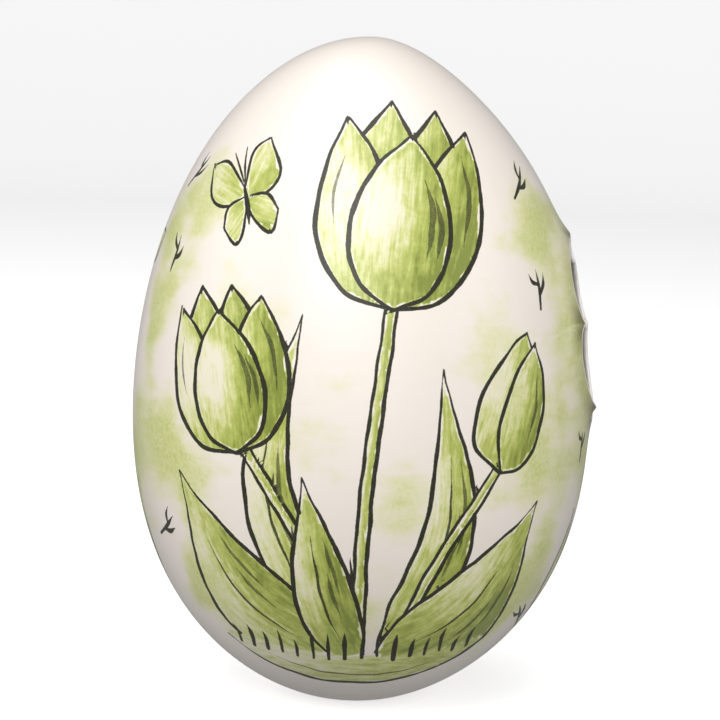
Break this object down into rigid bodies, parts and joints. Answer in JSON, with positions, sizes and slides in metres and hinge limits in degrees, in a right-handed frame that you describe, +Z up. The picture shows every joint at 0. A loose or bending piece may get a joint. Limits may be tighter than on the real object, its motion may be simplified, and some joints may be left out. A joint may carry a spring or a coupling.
{
  "type": "easter egg",
  "caption": "Hollow glazed ceramic easter egg, painted with spring flowers, with a torn opening in its side and a small flat foot.",
  "frame": {"origin": "centre of the flat foot that the egg stands on", "axes": "+Z up along the egg; the painted front faces -Y; the torn opening faces +X, turned slightly toward the front"},
  "size_m": [0.139, 0.1371, 0.1979],
  "materials": {
    "painted_glaze": "warm white body, green brush washes and black brush lines under a satin clear glaze; the foot is bare clay"
  },
  "bodies": {
    "root": {"egg_shell": "painted_glaze"}
  },
  "joints": []
}
